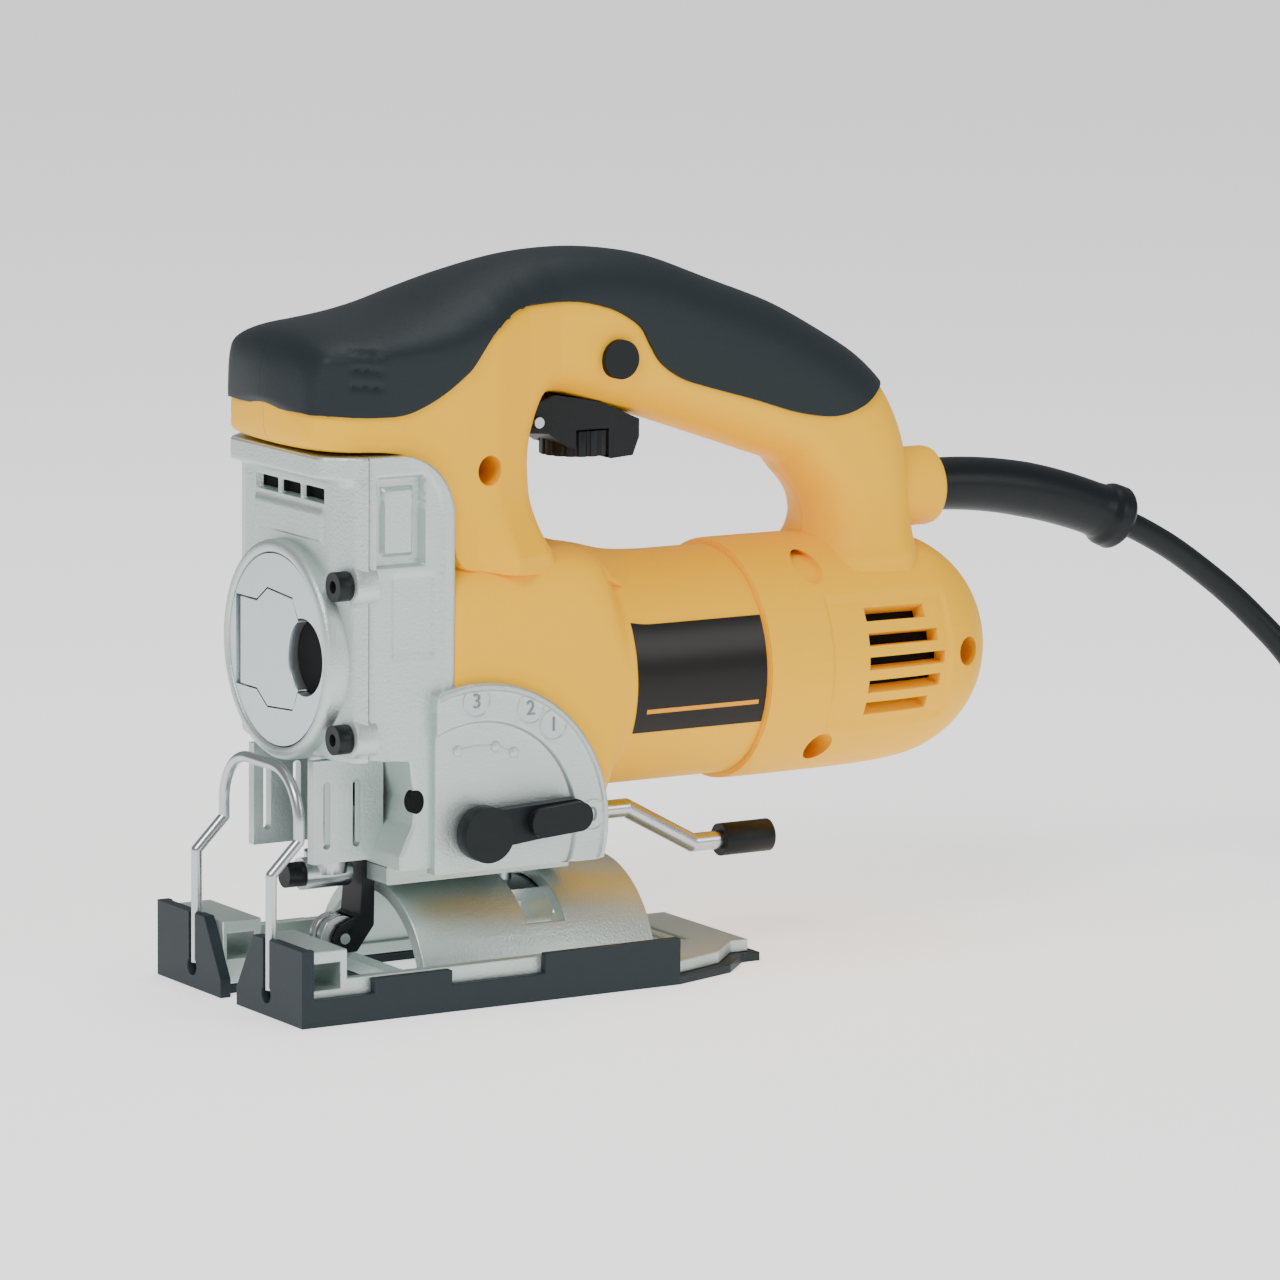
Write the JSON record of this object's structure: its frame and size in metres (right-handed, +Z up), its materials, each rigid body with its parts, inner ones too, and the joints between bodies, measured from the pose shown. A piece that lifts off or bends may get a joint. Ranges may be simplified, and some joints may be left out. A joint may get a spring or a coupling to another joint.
{
  "type": "corded jigsaw",
  "caption": "Corded top-handle jigsaw with a bevelling die-cast shoe, reciprocating plunger, flip knob, orbit lever, trigger with speed dial and a coiled mains lead.",
  "frame": {"origin": "where the blade line crosses the sole of the shoe", "axes": "+X from the blade towards the motor, against the cutting direction; +Z up along the blade; +Y towards the side without the orbit lever"},
  "size_m": [0.4832, 0.1064, 0.199],
  "materials": {
    "cast_aluminium": "satin",
    "yellow_plastic": "satin",
    "charcoal_rubber": "matte",
    "black_plastic": "satin",
    "blackened_steel": "satin",
    "bright_steel": "satin",
    "bronze": "satin",
    "label_film": "gloss",
    "carbon": "matte",
    "cable_pvc": "satin"
  },
  "bodies": {
    "body": {"shoe_clamp": "bright_steel", "clamp_stud": "bright_steel", "gear_case": "cast_aluminium", "gear_case_cover": "cast_aluminium", "gear_case_screws": "blackened_steel", "nose_guide": "cast_aluminium", "lower_bushing": "bronze", "upper_bushing": "bronze", "roller_pivot": "bright_steel", "gear_axle": "bright_steel", "bearing_plate": "cast_aluminium", "front_bearing": "bright_steel", "rear_bearing": "bright_steel", "stator": "bright_steel", "brush_holders": "bronze", "brushes": "carbon", "motor_housing": "yellow_plastic", "handle_left": "yellow_plastic", "handle_right": "yellow_plastic", "grip_left": "charcoal_rubber", "grip_right": "charcoal_rubber", "label_left": "label_film", "label_right": "label_film", "housing_screws": "bright_steel", "trigger_pin": "bright_steel", "trigger_spring": "bright_steel", "switch_body": "black_plastic", "cord_clamp": "black_plastic", "cord_sleeve": "charcoal_rubber", "cord": "cable_pvc", "cord_coil": "cable_pvc", "plug": "cable_pvc"},
    "shoe": {"shoe_plate": "cast_aluminium", "shoe_cover": "black_plastic", "finger_guard": "bright_steel"},
    "bevel_lever": {"bevel_lever": "bright_steel", "lever_tip": "charcoal_rubber"},
    "armature": {"armature_shaft": "bright_steel", "rotor_core": "bright_steel", "commutator": "bronze", "cooling_fan": "black_plastic"},
    "gear": {"drive_gear": "bright_steel"},
    "plunger": {"plunger": "bright_steel", "blade_clamp": "bright_steel", "clamp_screw": "blackened_steel"},
    "roller_arm": {"roller_arm": "blackened_steel", "roller_pin": "bright_steel"},
    "guide_roller": {"guide_roller": "bright_steel"},
    "orbit_lever": {"orbit_lever": "black_plastic", "orbit_shaft": "bright_steel"},
    "release_knob": {"release_knob": "cast_aluminium", "knob_hinge_pin": "bright_steel"},
    "knob_tab": {"knob_tab": "cast_aluminium"},
    "trigger": {"trigger": "black_plastic"},
    "speed_dial": {"speed_dial": "black_plastic"},
    "lock_button": {"lock_button": "black_plastic"}
  },
  "joints": [
    {"name": "shoe_bevel", "type": "hinge", "parent": "body", "child": "shoe", "pos_m": [0, 0, 0], "axis": [1, 0, 0], "range_deg": [-45, 45]},
    {"name": "clamp_lever", "type": "hinge", "parent": "body", "child": "bevel_lever", "pos_m": [0.055, 0, 0.0419], "axis": [0, 0, 1], "range_deg": [0, 20]},
    {"name": "armature_spin", "type": "hinge", "parent": "body", "child": "armature", "pos_m": [0, 0, 0.082], "axis": [1, 0, 0], "continuous": true},
    {"name": "gear_spin", "type": "hinge", "parent": "body", "child": "gear", "pos_m": [0, 0, 0.112], "axis": [1, 0, 0], "continuous": true},
    {"name": "plunger_slide", "type": "slide", "parent": "body", "child": "plunger", "axis": [0, 0, 1], "range_m": [0, 0.026]},
    {"name": "roller_arm_tilt", "type": "hinge", "parent": "body", "child": "roller_arm", "pos_m": [0.012, 0, 0.053], "axis": [0, 1, 0], "range_deg": [0, 3]},
    {"name": "guide_roller_spin", "type": "hinge", "parent": "roller_arm", "child": "guide_roller", "pos_m": [0.0027, 0, 0.015], "axis": [0, 1, 0], "continuous": true},
    {"name": "orbit_select", "type": "hinge", "parent": "body", "child": "orbit_lever", "pos_m": [0.0276, 0, 0.047], "axis": [0, -1, 0], "range_deg": [0, 92]},
    {"name": "knob_turn", "type": "hinge", "parent": "body", "child": "release_knob", "pos_m": [0, 0, 0.095], "axis": [1, 0, 0], "continuous": true},
    {"name": "knob_tab_flip", "type": "hinge", "parent": "release_knob", "child": "knob_tab", "pos_m": [-0.0133, 0.02, 0.095], "axis": [0, 0, -1], "range_deg": [0, 90]},
    {"name": "trigger_pull", "type": "hinge", "parent": "body", "child": "trigger", "pos_m": [0.06, 0, 0.153], "axis": [0, -1, 0], "range_deg": [0, 6], "stiffness_Nm_per_rad": 1, "springref_deg": -5.73, "deforming": ["trigger_spring"]},
    {"name": "speed_select", "type": "hinge", "parent": "trigger", "child": "speed_dial", "pos_m": [0.078, 0, 0.146], "axis": [0, 0, 1], "range_deg": [0, 270]},
    {"name": "lock_press", "type": "slide", "parent": "body", "child": "lock_button", "axis": [0, 1, 0], "range_m": [0, 0.003], "stiffness_N_per_m": 300, "springref_m": -0.001}
  ],
  "couplings": [
    {"joint": "gear_spin", "follows": "armature_spin", "ratio": -0.2}
  ]
}
